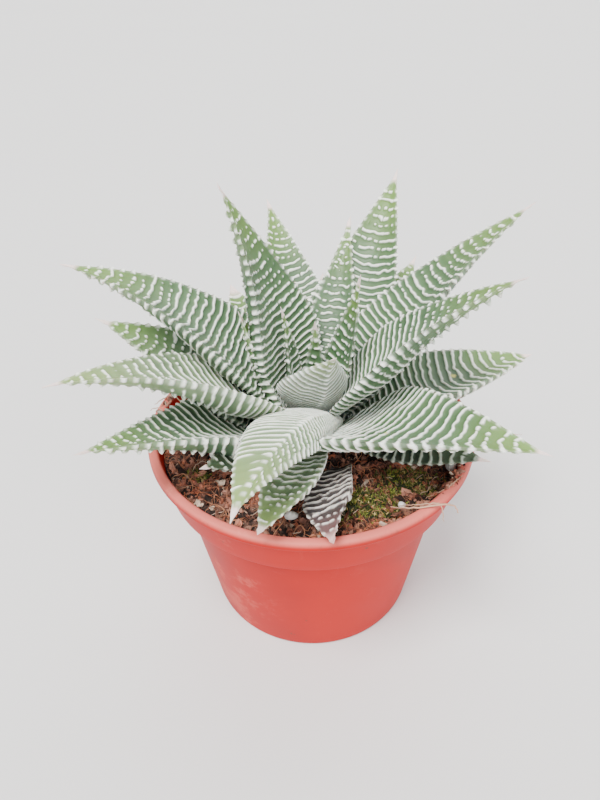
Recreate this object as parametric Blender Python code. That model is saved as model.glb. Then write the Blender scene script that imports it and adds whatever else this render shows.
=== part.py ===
"""A small striped haworthia in its round nursery pot.

Millimetre sizes below, turned to metres by MM. Z is up, the pot's foot stands
on z = 0 and the pot's axis is the Z axis. The front of the plant faces -Y.
"""

import math
import random

import bmesh
import bpy
import numpy as np

MM = 0.001
GAP = 0.3  # clear space left between two pieces that touch

# ---- the pot ---------------------------------------------------------------
POT_HEIGHT = 36.8
LIP_RADIUS = 27.5
LIP_DEPTH = 1.6
COLLAR_DEPTH = 8.4
COLLAR_FOOT_RADIUS = 25.2
BODY_TOP_RADIUS = 23.3
FOOT_RADIUS = 19.2
WALL = 0.9
FLOOR_THICKNESS = 1.2
POT_SEGMENTS = 64
DRAIN_COUNT = 4
DRAIN_RADIUS = 2.2
DRAIN_CIRCLE = 12.0

# ---- the growing mix -------------------------------------------------------
SOIL_EDGE_HEIGHT = 33.8
SOIL_MIDDLE_HEIGHT = 34.9
SOIL_BUMP = 0.28

# ---- the leaves ------------------------------------------------------------
# Where each section of a leaf lies along its length, 0 at the stem.
SECTIONS = (0.0, 0.07, 0.15, 0.24, 0.33, 0.42, 0.52, 0.62, 0.71, 0.80, 0.88, 0.945)
KEEL_SHIFT = 0.22  # how far the keel sits off the middle, in half widths
TROUGH = 0.10  # how far the upper face sinks, in half widths
MARGIN_LIFT = 0.16  # how far the margins rise over the midrib, in half widths

# Innermost first. Turn: bearing of the base round the stem, 0 at +X. Lift:
# slope where it leaves the stem. Curl: how much the slope changes on the way
# to the tip. Sweep: how much the bearing changes. Roll: turn about its own
# length. Angles in degrees. Then length, width, where along the length it is
# widest, how full the taper is, and the height and radius of its base. Three
# more numbers may follow: how wide the base is, how far the leaf first heads
# away from its bearing, and where its keel runs across it.
LEAVES = (
    # name, turn, lift, curl, sweep, roll, long, wide, at, taper, height, radius
    ("leaf_heart_left", 150, 90, -14, 6, 9, 15.3, 5.0, 0.28, 1.39, 40.8, 2.8),
    ("leaf_heart_right", 77, 76, 17, 0, 0, 11.8, 3.4, 0.27, 1.37, 40.6, 3.1),
    ("leaf_cup", 272, 83, -40, 41, -8, 17.5, 11.1, 0.44, 1.28, 39.8, 2.8),
    ("leaf_inner_left", 180, 62, 9, 5, -4, 18.4, 12.4, 0.25, 1.28, 39.9, 3.0),
    ("leaf_inner_right", 33, 66, 14, -2, -4, 21.0, 7.4, 0.27, 1.37, 39.8, 3.2),
    ("leaf_inner_back", 75, 31, 15, 0, -2, 34.2, 10.6, 0.24, 1.19, 39.7, 3.2),
    ("leaf_upper_left", 134, 78, -16, 29, 13, 36.3, 19.0, 0.33, 1.20, 39.4, 3.0),
    ("leaf_far_left", 166, 56, -41, 15, 4, 42.6, 18.0, 0.32, 1.33, 39.5, 3.0),
    ("leaf_right_fold", -6, 59, -28, -14, -7, 37.4, 19.5, 0.37, 1.10, 39.0, 3.1),
    ("leaf_upper_right", 28, 49, -16, -16, -11, 45.4, 18.0, 0.29, 1.28, 38.9, 3.1),
    ("leaf_back_right", 65, 33, 17, -3, 1, 45.4, 17.8, 0.29, 1.27, 38.2, 3.2),
    ("leaf_back_left", 94, 24, 10, 15, 2, 45.9, 16.0, 0.25, 1.23, 38.0, 3.2),
    ("leaf_left", 203, 53, -48, 12, 9, 40.8, 18.5, 0.40, 1.01, 37.9, 3.2),
    ("leaf_front_bent", -23.7, 40, -48, 28, 175, 36.2, 10.4, 0.54, 1.25, 38.4, 5.5, 0.22, 254, -0.45),
    ("leaf_front_right", -55, 44, -51, 34, -3, 35.4, 21.0, 0.25, 1.22, 39.2, 6.4, 0.14),
    ("leaf_right_low", 5, 26, -22, 8, -9, 35.8, 16.7, 0.55, 1.36, 36.5, 3.5),
    ("leaf_left_low", 171, 38, -12, 7, -4, 35.5, 17.4, 0.34, 1.37, 35.8, 3.1),
    ("leaf_front_left", 212, 26, -12, 12, 11, 36.6, 18.5, 0.43, 0.90, 37.0, 3.1),
    ("leaf_back_low_left", 120, 15, 3, -8, 0, 34.0, 14.0, 0.32, 1.38, 37.2, 3.4),
    ("leaf_back_low_right", 50, 27, 4, 8, 0, 35.0, 15.9, 0.30, 1.40, 36.8, 3.4),
    ("leaf_back_low", 84, 13, 10, 3, 0, 34.0, 14.0, 0.32, 1.35, 36.2, 4.0),
    ("leaf_front_dark", 265, 18, -17, -19, 10, 26.3, 8.8, 0.45, 1.70, 36.9, 4.4),
    ("leaf_right_under", -27, 4, 4, -3, 10, 26.0, 9.4, 0.52, 1.60, 36.8, 3.4),
    ("leaf_left_under", 231, 14, 14, 5, -16, 22.6, 9.0, 0.39, 1.57, 35.7, 3.4),
    ("leaf_front_old", -67.2, 14, -6, 32, 29, 18.9, 7.8, 0.52, 1.15, 36.0, 12.2, 0.50, -45),
)

LEAF_GREEN = (0.30, 0.42, 0.26, 1.0)
OLD_LEAF = (0.24, 0.17, 0.17, 1.0)

# ---- moss cushions and pale grains on the mix ------------------------------
# name, x, y, half length, half width, height
CUSHIONS = (
    ("moss_front", 7.5, -17.5, 6.5, 3.4, 1.5),
    ("moss_right", 14.5, -13.0, 5.0, 3.2, 1.3),
    ("moss_side", 19.5, -5.5, 3.2, 2.6, 1.0),
    ("moss_left", -17.5, -10.5, 3.0, 2.0, 0.8),
)
# name, x, y, half length, half width, half height
GRAINS = (
    ("grain_front", -3.0, -20.4, 1.0, 0.75, 0.7),
    ("grain_right", 13.2, -18.2, 0.8, 0.6, 0.55),
    ("grain_side", 22.4, -9.6, 0.9, 1.2, 0.8),
    ("grain_back", -9.5, 20.5, 0.9, 0.7, 0.6),
)

TERRACOTTA = (0.62, 0.15, 0.08, 1.0)
SOIL_BROWN = (0.055, 0.030, 0.020, 1.0)
MOSS_GREEN = (0.13, 0.15, 0.03, 1.0)
GRAIN_WHITE = (0.80, 0.78, 0.74, 1.0)


def clear_scene():
    """Take away every object the empty scene starts with."""
    for thing in list(bpy.data.objects):
        bpy.data.objects.remove(thing, do_unlink=True)


def material(name, colour, roughness):
    """One plain Principled material."""
    made = bpy.data.materials.new(name)
    made.use_nodes = True
    shader = made.node_tree.nodes["Principled BSDF"]
    shader.inputs["Base Color"].default_value = colour
    shader.inputs["Roughness"].default_value = roughness
    return made


def add_object(name, points, faces):
    """A mesh object from points in millimetres, its faces turned outward."""
    mesh = bpy.data.meshes.new(name)
    mesh.from_pydata([tuple(float(c) * MM for c in p) for p in points], [], faces)
    work = bmesh.new()
    work.from_mesh(mesh)
    bmesh.ops.recalc_face_normals(work, faces=work.faces)
    bmesh.ops.triangulate(work, faces=work.faces)
    work.to_mesh(mesh)
    work.free()
    made = bpy.data.objects.new(name, mesh)
    bpy.context.scene.collection.objects.link(made)
    return made


def turned(profile, segments):
    """Points and faces of a closed (radius, height) outline turned round Z."""
    points, faces = [], []
    for step in range(segments):
        angle = 2 * math.pi * step / segments
        for radius, height in profile:
            points.append((radius * math.cos(angle), radius * math.sin(angle), height))
    count = len(profile)
    for step in range(segments):
        here, there = step * count, (step + 1) % segments * count
        for i in range(count):
            j = (i + 1) % count
            faces.append((here + i, there + i, there + j, here + j))
    return points, faces


def weld_axis(thing):
    """Join the points that fall together on the axis of a turned shape."""
    work = bmesh.new()
    work.from_mesh(thing.data)
    bmesh.ops.remove_doubles(work, verts=work.verts, dist=1e-6)
    bmesh.ops.dissolve_degenerate(work, edges=work.edges, dist=1e-7)
    bmesh.ops.recalc_face_normals(work, faces=work.faces)
    work.to_mesh(thing.data)
    work.free()


def grown(thing, by):
    """A copy of a mesh with every point moved out along its normal."""
    copy = thing.copy()
    copy.data = thing.data.copy()
    copy.name = thing.name + "_grown"
    bpy.context.scene.collection.objects.link(copy)
    work = bmesh.new()
    work.from_mesh(copy.data)
    work.normal_update()
    moves = [v.normal * v.calc_shell_factor() * by * MM for v in work.verts]
    for vert, move in zip(work.verts, moves):
        vert.co += move.normalized() * min(move.length, 1.6 * by * MM)
    work.to_mesh(copy.data)
    work.free()
    return copy


def keep_largest(mesh):
    """Leave only the island with the most volume."""
    work = bmesh.new()
    work.from_mesh(mesh)
    todo, islands = set(work.verts), []
    while todo:
        seed = todo.pop()
        island, edge = {seed}, [seed]
        while edge:
            for link in edge.pop().link_edges:
                for vert in link.verts:
                    if vert not in island:
                        island.add(vert)
                        edge.append(vert)
        todo -= island
        islands.append(island)

    def volume(island):
        total = 0.0
        for face in {f for v in island for f in v.link_faces}:
            corners = [v.co for v in face.verts]
            for b, c in zip(corners[1:], corners[2:]):
                total += corners[0].dot(b.cross(c))
        return abs(total)

    if len(islands) > 1:
        islands.sort(key=volume)
        lost = [v for island in islands[:-1] for v in island]
        bmesh.ops.delete(work, geom=lost, context="VERTS")
    work.to_mesh(mesh)
    work.free()


def boxes_meet(one, other):
    """Whether the two meshes' boxes touch at all."""
    ends = []
    for thing in (one, other):
        at = np.array([v.co for v in thing.data.vertices])
        ends.append((at.min(axis=0), at.max(axis=0)))
    return bool((ends[0][0] < ends[1][1]).all() and (ends[1][0] < ends[0][1]).all())


def carve(thing, cutters):
    """Cut the cutters out of a mesh and keep the biggest piece that is left."""
    for cutter in cutters:
        if not boxes_meet(thing, cutter):
            continue
        step = thing.modifiers.new("carve", "BOOLEAN")
        step.operation = "DIFFERENCE"
        step.solver = "MANIFOLD"
        step.object = cutter
        bpy.context.view_layer.update()
        graph = bpy.context.evaluated_depsgraph_get()
        cut = bpy.data.meshes.new_from_object(thing.evaluated_get(graph))
        thing.modifiers.remove(step)
        keep_largest(cut)
        thing.data = cut


def build_pot():
    """Thin plastic wall: rolled lip, deep collar, a step, a tapered body."""
    collar_foot = POT_HEIGHT - COLLAR_DEPTH
    under_lip = POT_HEIGHT - LIP_DEPTH
    profile = [
        (0.0, 0.0),
        (FOOT_RADIUS - 0.6, 0.0),
        (FOOT_RADIUS - 0.15, 0.2),
        (FOOT_RADIUS, 0.7),
        (BODY_TOP_RADIUS, collar_foot - 0.3),
        (BODY_TOP_RADIUS + 0.3, collar_foot),
        (COLLAR_FOOT_RADIUS - 0.3, collar_foot),
        (COLLAR_FOOT_RADIUS, collar_foot + 0.3),
        (LIP_RADIUS - 1.0, under_lip - 0.15),
        (LIP_RADIUS - 0.35, under_lip),
        (LIP_RADIUS, under_lip + 0.4),
        (LIP_RADIUS, POT_HEIGHT - 0.5),
        (LIP_RADIUS - 0.4, POT_HEIGHT - 0.05),
        (LIP_RADIUS - 0.9, POT_HEIGHT),
        (LIP_RADIUS - 1.35, POT_HEIGHT - 0.15),
        (LIP_RADIUS - 1.6, POT_HEIGHT - 0.8),
        (COLLAR_FOOT_RADIUS - WALL, collar_foot + 0.2),
        (BODY_TOP_RADIUS - WALL, collar_foot - 0.9),
        (FOOT_RADIUS - WALL, FLOOR_THICKNESS + 0.5),
        (FOOT_RADIUS - WALL - 0.5, FLOOR_THICKNESS),
        (0.0, FLOOR_THICKNESS),
    ]
    pot = add_object("pot", *turned(profile, POT_SEGMENTS))
    weld_axis(pot)
    holes = []
    for number in range(DRAIN_COUNT):
        angle = 2 * math.pi * (number + 0.5) / DRAIN_COUNT
        x, y = DRAIN_CIRCLE * math.cos(angle), DRAIN_CIRCLE * math.sin(angle)
        ends = [(0.0, -1.0), (DRAIN_RADIUS, -1.0), (DRAIN_RADIUS, 3.0), (0.0, 3.0)]
        points, faces = turned(ends, 20)
        hole = add_object("hole", [(px + x, py + y, pz) for px, py, pz in points], faces)
        weld_axis(hole)
        holes.append(hole)
    carve(pot, holes)
    for hole in holes:
        bpy.data.objects.remove(hole, do_unlink=True)
    pot.data.materials.clear()
    pot.data.materials.append(material("pot_plastic", TERRACOTTA, 0.45))


def build_soil():
    """The mix fills the pot and swells a little towards the middle."""
    rng = random.Random(7)
    inner_foot = FOOT_RADIUS - WALL - 0.4
    body_top = BODY_TOP_RADIUS - WALL - 0.4
    rings = [
        (0.0, FLOOR_THICKNESS + GAP),
        (inner_foot - 0.6, FLOOR_THICKNESS + GAP),
        (inner_foot, FLOOR_THICKNESS + 0.9),
        (body_top, POT_HEIGHT - COLLAR_DEPTH - 0.9),
        (COLLAR_FOOT_RADIUS - WALL - 0.5, POT_HEIGHT - COLLAR_DEPTH + 0.9),
        (LIP_RADIUS - 2.55, SOIL_EDGE_HEIGHT),
    ]
    inward = [(0.86, 0.15), (0.66, 0.45), (0.44, 0.75), (0.20, 0.95), (0.0, 1.0)]
    rise = SOIL_MIDDLE_HEIGHT - SOIL_EDGE_HEIGHT
    for share, height in inward:
        rings.append(((LIP_RADIUS - 2.55) * share, SOIL_EDGE_HEIGHT + rise * height))
    segments = 40
    points, faces = turned(rings, segments)
    bumpy = []
    for place, (x, y, z) in enumerate(points):
        ring = place % len(rings)
        if 6 <= ring < len(rings) - 1:
            z += rng.uniform(-SOIL_BUMP, SOIL_BUMP)
        bumpy.append((x, y, z))
    soil = add_object("soil", bumpy, faces)
    weld_axis(soil)
    soil.data.materials.append(material("soil_mix", SOIL_BROWN, 0.95))
    return soil


def half_width(along, at, taper, foot):
    """Share of the full half width: opens from the base, then tapers to a point."""
    opening = foot + (1.0 - foot) * math.sin(min(along / at, 1.0) * math.pi / 2)
    past = max(0.0, (along - at) / (1.0 - at))
    return opening * (1.0 - past**taper)


def leaf_points(
    turn,
    lift,
    curl,
    sweep,
    roll,
    length,
    width,
    at,
    taper,
    height,
    radius,
    foot=0.5,
    aside=0.0,
    keel=KEEL_SHIFT,
):
    """Sections of one leaf from stem to tip, eight points each, then the tip."""
    fine = 120
    bearing = math.radians(turn)
    place = np.array([radius * math.cos(bearing), radius * math.sin(bearing), height])
    walk = []
    for step in range(fine + 1):
        along = step / fine
        slope = math.radians(lift + curl * along)
        heading = math.radians(turn + aside + sweep * along)
        flat = np.array([math.cos(heading), math.sin(heading), 0.0])
        ahead = flat * math.cos(slope) + np.array([0.0, 0.0, math.sin(slope)])
        side = np.array([-math.sin(heading), math.cos(heading), 0.0])
        up = np.cross(ahead, side)
        tilt = math.radians(roll)
        across = side * math.cos(tilt) + up * math.sin(tilt)
        walk.append((place.copy(), across, np.cross(ahead, across)))
        place = place + ahead * length / fine
    points = []
    for along in SECTIONS:
        middle, across, up = walk[round(along * fine)]
        half = width / 2 * half_width(along, at, taper, foot)
        deep = half * (0.27 + 0.13 * min(1.0, along / 0.35))
        rise = MARGIN_LIFT * half
        trough = TROUGH * half
        ring = (
            (1.0, rise),
            (0.55, rise * 0.45 - trough * 0.3),
            (0.0, -trough),
            (-0.55, rise * 0.45 - trough * 0.3),
            (-1.0, rise),
            (-0.62, -deep * 0.62),
            (keel, -deep),
            (0.75, -deep * 0.50),
        )
        for out, over in ring:
            points.append(middle + across * half * out + up * over)
    points.append(walk[-1][0])
    return points


def build_leaf(name, *sizes):
    """One closed leaf: eight-sided sections, a flat foot and a point."""
    points = leaf_points(*sizes)
    faces = [tuple(range(8))]
    for section in range(len(SECTIONS) - 1):
        for i in range(8):
            a, b = section * 8 + i, section * 8 + (i + 1) % 8
            faces.append((a, b, b + 8, a + 8))
    last = (len(SECTIONS) - 1) * 8
    for i in range(8):
        faces.append((last + i, last + (i + 1) % 8, last + 8))
    leaf = add_object(name, points, faces)
    old = name == "leaf_front_old"
    colour = OLD_LEAF if old else LEAF_GREEN
    leaf.data.materials.append(material(name + "_skin", colour, 0.5))
    return leaf


def build_ball(name, centre, sizes, rows, columns, uneven, seed):
    """A closed uneven ellipsoid."""
    rng = random.Random(seed)
    points, faces = [(0.0, 0.0, -1.0)], []
    for row in range(1, rows):
        height = -math.cos(math.pi * row / rows)
        ring = math.sin(math.pi * row / rows)
        for column in range(columns):
            angle = 2 * math.pi * column / columns
            swell = 1.0 + rng.uniform(-uneven, uneven)
            x, y = ring * math.cos(angle) * swell, ring * math.sin(angle) * swell
            points.append((x, y, height * swell))
    points.append((0.0, 0.0, 1.0))
    top = len(points) - 1
    for column in range(columns):
        after = (column + 1) % columns
        faces.append((0, 1 + after, 1 + column))
        for row in range(rows - 2):
            a, b = 1 + row * columns + column, 1 + row * columns + after
            faces.append((a, b, b + columns, a + columns))
        last = 1 + (rows - 2) * columns
        faces.append((last + column, last + after, top))
    placed = [[c + p * s for c, p, s in zip(centre, point, sizes)] for point in points]
    return add_object(name, placed, faces)


def soil_height(x, y):
    """Height of the mix's mean surface."""
    share = min(1.0, math.hypot(x, y) / (LIP_RADIUS - 2.55))
    return SOIL_MIDDLE_HEIGHT - (SOIL_MIDDLE_HEIGHT - SOIL_EDGE_HEIGHT) * share**1.5


def main():
    """Build every piece. Inner pieces come first and outer ones give way."""
    clear_scene()
    build_pot()
    soil = build_soil()
    cutters = [grown(soil, GAP)]
    leaves = []
    for row in LEAVES:
        leaf = build_leaf(*row)
        whole = grown(leaf, GAP)
        carve(leaf, cutters)
        cutters.append(whole)
        leaves.append(leaf)
    stem = build_ball("stem", (0.0, 0.0, 37.0), (4.6, 4.6, 2.1), 8, 14, 0.03, 5)
    stem.data.materials.append(material("stem_core", (0.42, 0.40, 0.28, 1.0), 0.7))
    carve(stem, cutters)
    moss = material("moss_tuft", MOSS_GREEN, 0.95)
    for seed, (name, x, y, long, wide, high) in enumerate(CUSHIONS):
        centre = (x, y, soil_height(x, y) - 0.2)
        tuft = build_ball(name, centre, (long, wide, high + 0.2), 7, 14, 0.06, 20 + seed)
        tuft.data.materials.append(moss.copy())
        carve(tuft, cutters)
        cutters.append(grown(tuft, GAP))
    white = material("grain_white", GRAIN_WHITE, 0.9)
    for seed, (name, x, y, long, wide, high) in enumerate(GRAINS):
        centre = (x, y, soil_height(x, y) + GAP + high * 0.6)
        grain = build_ball(name, centre, (long, wide, high), 5, 8, 0.12, 40 + seed)
        grain.data.materials.append(white.copy())
        carve(grain, cutters)
        cutters.append(grown(grain, GAP))
    for cutter in cutters:
        bpy.data.objects.remove(cutter, do_unlink=True)


main()
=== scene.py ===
"""Looks for a small striped haworthia in its nursery pot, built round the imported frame.

Every size inside the classes is in millimetres and turns to metres by MM.
"""

import logging
import math
from dataclasses import dataclass, field, replace
from enum import Enum
from typing import Any, ClassVar, Iterator, Sequence

import bmesh
import bpy
import numpy as np
from mathutils import Matrix, Vector


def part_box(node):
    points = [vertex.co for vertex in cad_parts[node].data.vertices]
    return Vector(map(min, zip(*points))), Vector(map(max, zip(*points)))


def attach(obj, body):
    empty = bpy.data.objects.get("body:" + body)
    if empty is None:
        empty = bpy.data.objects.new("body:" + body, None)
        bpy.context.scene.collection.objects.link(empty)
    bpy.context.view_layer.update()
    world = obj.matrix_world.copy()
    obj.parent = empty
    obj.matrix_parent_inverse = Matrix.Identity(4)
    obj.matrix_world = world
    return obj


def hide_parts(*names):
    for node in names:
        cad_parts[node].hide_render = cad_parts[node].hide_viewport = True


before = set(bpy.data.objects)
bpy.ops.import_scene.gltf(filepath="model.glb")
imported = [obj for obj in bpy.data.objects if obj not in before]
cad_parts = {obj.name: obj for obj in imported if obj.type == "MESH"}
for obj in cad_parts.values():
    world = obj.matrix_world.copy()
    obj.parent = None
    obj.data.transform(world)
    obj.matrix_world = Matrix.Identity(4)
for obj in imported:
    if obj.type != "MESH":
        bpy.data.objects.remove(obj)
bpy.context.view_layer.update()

MM = 0.001
Colour = tuple[float, float, float]
log = logging.getLogger("haworthia")


# ---- numbers that wander smoothly -------------------------------------------


def smooth(low: float, high: float, value: np.ndarray) -> np.ndarray:
    """Ease from 0 at low to 1 at high.

    Args:
        low: value where the step starts.
        high: value where the step ends.
        value: numbers to ease.

    Returns:
        Numbers from 0 to 1.
    """
    share = np.clip((value - low) / (high - low), 0.0, 1.0)
    return share * share * (3.0 - 2.0 * share)


def ripple(a: np.ndarray, b: np.ndarray, seed: float) -> np.ndarray:
    """Smooth noise over a plane.

    Args:
        a: first coordinate, one lump per unit.
        b: second coordinate.
        seed: picks another pattern.

    Returns:
        Numbers from -1 to 1.
    """
    a, b = np.broadcast_arrays(np.asarray(a, float), np.asarray(b, float))
    ia, ib = np.floor(a), np.floor(b)
    fa, fb = a - ia, b - ib
    fa, fb = fa * fa * (3 - 2 * fa), fb * fb * (3 - 2 * fb)

    def knot(x: np.ndarray, y: np.ndarray) -> np.ndarray:
        """One random number for each whole-number corner."""
        wild = np.sin(x * 127.1 + y * 311.7 + seed * 74.7) * 43758.5453
        return (wild - np.floor(wild)) * 2 - 1

    low = knot(ia, ib) * (1 - fa) + knot(ia + 1, ib) * fa
    high = knot(ia, ib + 1) * (1 - fa) + knot(ia + 1, ib + 1) * fa
    return low * (1 - fb) + high * fb


def layered(a: np.ndarray, b: np.ndarray, seed: float, layers: int) -> np.ndarray:
    """Several ripples, each twice as fine and half as strong.

    Args:
        a: first coordinate.
        b: second coordinate.
        seed: picks another pattern.
        layers: how many ripples.

    Returns:
        Numbers from about -1 to 1.
    """
    total = np.zeros(np.broadcast(a, b).shape)
    for step in range(layers):
        scale = 2.0**step
        total = total + ripple(a * scale, b * scale, seed + 3.1 * step) / scale
    return total / 1.6


# ---- shader sheets ----------------------------------------------------------


class Wire:
    """A shader value that adds Math nodes when it is used in arithmetic."""

    def __init__(self, sheet: "Sheet", socket: Any) -> None:
        """Keep the sheet and the socket this value comes from."""
        self.sheet = sheet
        self.socket = socket

    def _math(self, operation: str, first: Any, second: Any) -> "Wire":
        """Join two values with one Math node.

        Args:
            operation: the Math node's operation.
            first: left value, a Wire or a number.
            second: right value, a Wire or a number.

        Returns:
            The node's result.
        """
        made = self.sheet.add("ShaderNodeMath", {"operation": operation}, {0: first, 1: second})
        return Wire(self.sheet, made.outputs[0])

    def __add__(self, other: Any) -> "Wire":
        """Sum."""
        return self._math("ADD", self, other)

    def __radd__(self, other: Any) -> "Wire":
        """Sum, the number first."""
        return self._math("ADD", other, self)

    def __sub__(self, other: Any) -> "Wire":
        """Difference."""
        return self._math("SUBTRACT", self, other)

    def __rsub__(self, other: Any) -> "Wire":
        """Difference, the number first."""
        return self._math("SUBTRACT", other, self)

    def __mul__(self, other: Any) -> "Wire":
        """Product."""
        return self._math("MULTIPLY", self, other)

    def __rmul__(self, other: Any) -> "Wire":
        """Product, the number first."""
        return self._math("MULTIPLY", other, self)

    def step(self, low: float, high: float) -> "Wire":
        """Ease from 0 at low to 1 at high.

        Args:
            low: value where the step starts.
            high: value where the step ends.

        Returns:
            A value from 0 to 1.
        """
        made = self.sheet.add(
            "ShaderNodeMapRange",
            {"interpolation_type": "SMOOTHSTEP"},
            {"Value": self, "From Min": low, "From Max": high},
        )
        return Wire(self.sheet, made.outputs["Result"])

    def clamp(self) -> "Wire":
        """The value held between 0 and 1."""
        made = self.sheet.add("ShaderNodeClamp", {}, {"Value": self})
        return Wire(self.sheet, made.outputs[0])


class Sheet:
    """One material and the nodes on it."""

    def __init__(self, name: str) -> None:
        """Start a material with its Principled shader."""
        self.material = bpy.data.materials.new(name)
        self.material.use_nodes = True
        self.tree = self.material.node_tree
        self.shader = self.tree.nodes["Principled BSDF"]

    def add(self, kind: str, settings: dict[str, Any], feeds: dict[Any, Any]) -> Any:
        """Add any node: its settings first, then its values and links.

        Args:
            kind: the node's type.
            settings: properties such as an operation.
            feeds: socket name or number to a Wire, a socket, a number or a colour.

        Returns:
            The new node.
        """
        node = self.tree.nodes.new(kind)
        for name, value in settings.items():
            setattr(node, name, value)
        for name, value in feeds.items():
            self.feed(node.inputs[name], value)
        return node

    def feed(self, socket: Any, value: Any) -> None:
        """Link or set one input.

        Args:
            socket: the input.
            value: a Wire, a socket, a number or a colour.
        """
        if isinstance(value, Wire):
            self.tree.links.new(value.socket, socket)
        elif isinstance(value, bpy.types.NodeSocket):
            self.tree.links.new(value, socket)
        elif isinstance(value, tuple) and len(value) == 3 and socket.type == "RGBA":
            socket.default_value = (*value, 1.0)
        else:
            socket.default_value = value

    def set(self, **values: Any) -> None:
        """Feed the shader's inputs, with underscores for spaces.

        Args:
            **values: input name to a Wire, a number or a colour.
        """
        for name, value in values.items():
            self.feed(self.shader.inputs[name.replace("_", " ")], value)

    def blend(self, first: Any, second: Any, share: Any) -> Wire:
        """Mix two colours.

        Args:
            first: colour where share is 0.
            second: colour where share is 1.
            share: how much of the second.

        Returns:
            The mixed colour.
        """
        made = self.add("ShaderNodeMix", {"data_type": "RGBA"}, {"Factor": share})
        self.feed(made.inputs[6], first)
        self.feed(made.inputs[7], second)
        return Wire(self, made.outputs[2])

    def place(self) -> Wire:
        """Position in the object's own space, in metres."""
        made = self.add("ShaderNodeTexCoord", {}, {})
        return Wire(self, made.outputs["Object"])

    def noise(self, where: Any, per_metre: float, detail: float = 3.0, rough: float = 0.5) -> Wire:
        """Noise of a real scale.

        Args:
            where: coordinates in metres.
            per_metre: lumps in a metre.
            detail: how many finer layers.
            rough: strength of the finer layers.

        Returns:
            A value round 0.5.
        """
        feeds = {"Vector": where, "Scale": per_metre, "Detail": detail, "Roughness": rough}
        made = self.add("ShaderNodeTexNoise", {}, feeds)
        return Wire(self, made.outputs[0])

    def marks(self, name: str) -> tuple[Wire, Wire, Wire]:
        """Three painted-on values of the mesh.

        Args:
            name: the mesh attribute.

        Returns:
            Its red, green and blue parts.
        """
        paint = self.add("ShaderNodeAttribute", {"attribute_name": name}, {})
        split = self.add("ShaderNodeSeparateColor", {}, {"Color": paint.outputs["Color"]})
        return tuple(Wire(self, split.outputs[i]) for i in range(3))

    def axes(self, where: Wire) -> tuple[Wire, Wire, Wire]:
        """The x, y and z of a place."""
        split = self.add("ShaderNodeSeparateXYZ", {}, {"Vector": where})
        return tuple(Wire(self, split.outputs[i]) for i in range(3))

    def emboss(self, height: Wire, strength: float, depth_mm: float) -> None:
        """Raise the surface by a height value through a Bump node.

        Args:
            height: value from 0 to 1.
            strength: how much of the bump to use.
            depth_mm: rise in millimetres for a height of 1.
        """
        made = self.add(
            "ShaderNodeBump", {}, {"Strength": strength, "Distance": depth_mm * MM, "Height": height}
        )
        self.tree.links.new(made.outputs[0], self.shader.inputs["Normal"])


# ---- finishes ---------------------------------------------------------------


@dataclass(frozen=True)
class LeafSkin:
    """Waxy leaf skin: green ground, raised pale bands, pale edge, coloured point."""

    name: str
    deep: Colour = (0.036, 0.086, 0.036)
    light: Colour = (0.094, 0.170, 0.076)
    foot: Colour = (0.076, 0.110, 0.068)
    far: Colour = (0.170, 0.290, 0.062)
    band: Colour = (0.940, 0.955, 0.885)
    point: Colour = (0.880, 0.720, 0.680)
    spot: Colour = (0.600, 0.560, 0.120)

    def make(self) -> bpy.types.Material:
        """Build the material.

        Returns:
            The finished material.
        """
        sheet = Sheet(self.name)
        where = sheet.place()
        ridge, rim, along = sheet.marks("marks")
        tone, dry, fleck = sheet.marks("tones_and_shade")
        cloud = sheet.noise(where, 260.0, 3.0)
        fine = sheet.noise(where, 5200.0, 2.0)
        # The tone carries painted shade and shadow from the mesh: the lower faces darker towards the
        # stem, the stem side of each band darker.
        ground = sheet.blend(self.deep, self.light, (tone * 0.75 + cloud * 0.5 - 0.12).clamp())
        ground = sheet.blend(ground, self.far, along.step(0.58, 0.98) * 0.85)
        ground = sheet.blend(ground, self.foot, (1 - along.step(0.0, 0.24)) * 0.8)
        ground = sheet.blend(ground, self.light, fine.step(0.55, 0.80) * 0.25)
        band_white_and_lip_highlight = (ridge * (0.78 + fine * 0.4)).clamp()
        skin = sheet.blend(ground, self.band, band_white_and_lip_highlight)
        skin = sheet.blend(skin, self.band, (rim * (0.6 + cloud * 0.7)).clamp())
        skin = sheet.blend(skin, self.point, dry)
        skin = sheet.blend(skin, self.spot, fleck)
        sheet.set(
            Base_Color=skin,
            Roughness=0.42 + ridge * 0.14 + fine * 0.10,
            Subsurface_Weight=0.10,
            Subsurface_Scale=0.0004,
            Specular_IOR_Level=0.42,
        )
        sheet.emboss(fine, 0.5, 0.035)
        return sheet.material


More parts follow.
